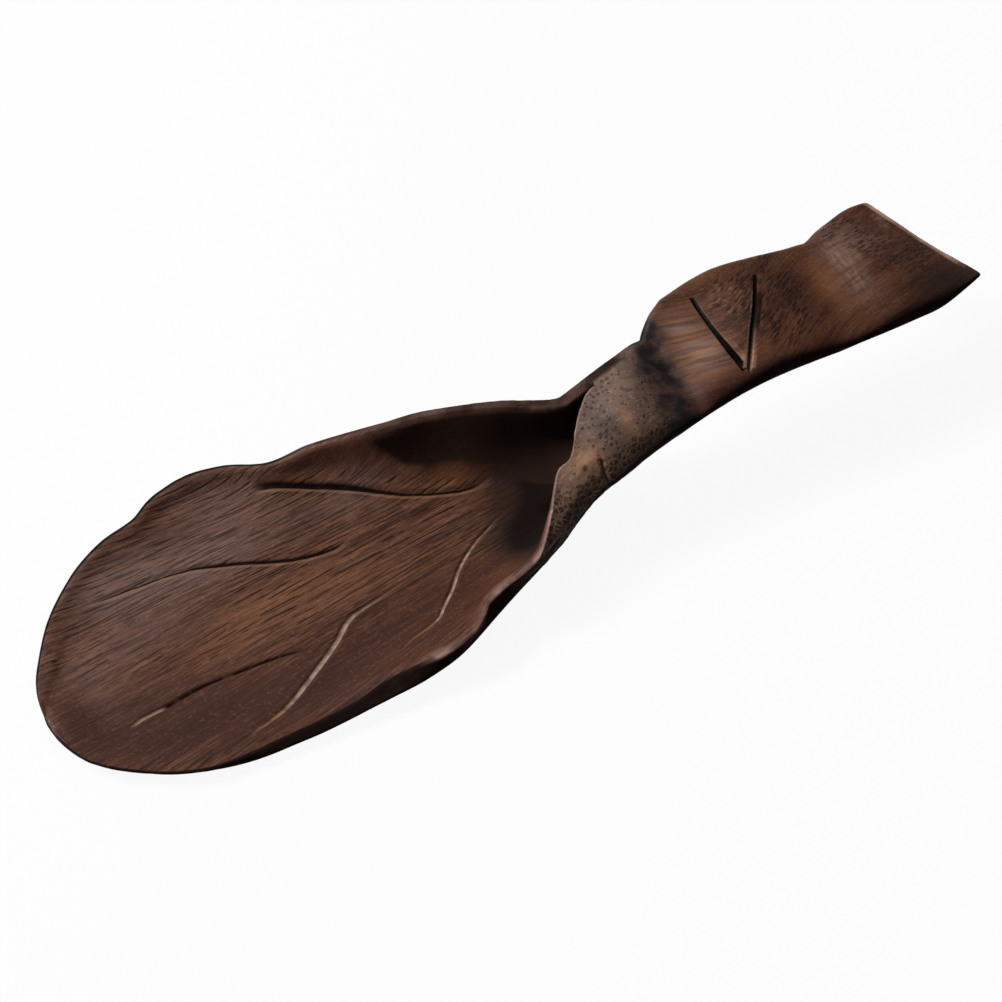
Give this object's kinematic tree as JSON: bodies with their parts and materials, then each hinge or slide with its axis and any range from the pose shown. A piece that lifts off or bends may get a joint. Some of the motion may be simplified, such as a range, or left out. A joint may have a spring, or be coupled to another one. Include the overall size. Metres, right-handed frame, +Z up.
{
  "type": "bamboo tea scoop",
  "caption": "Leaf-shaped tea scoop carved in one piece, with a shallow thin bowl whose near margin rolls up over the throat into a short arched handle",
  "frame": {"origin": "centre of the bounding box in X and Y, on the plane of the belly that the scoop rests on", "axes": "+X along the scoop from the bowl's tip to the handle's end, +Y to the far rim, away from the rolled lip, +Z up out of the open bowl"},
  "size_m": [0.177, 0.0584, 0.0234],
  "materials": {
    "carbonised_bamboo": "dark carbonised bamboo root, carved and hand-rubbed to a low satin sheen"
  },
  "bodies": {
    "root": {"scoop": "carbonised_bamboo"}
  },
  "joints": []
}
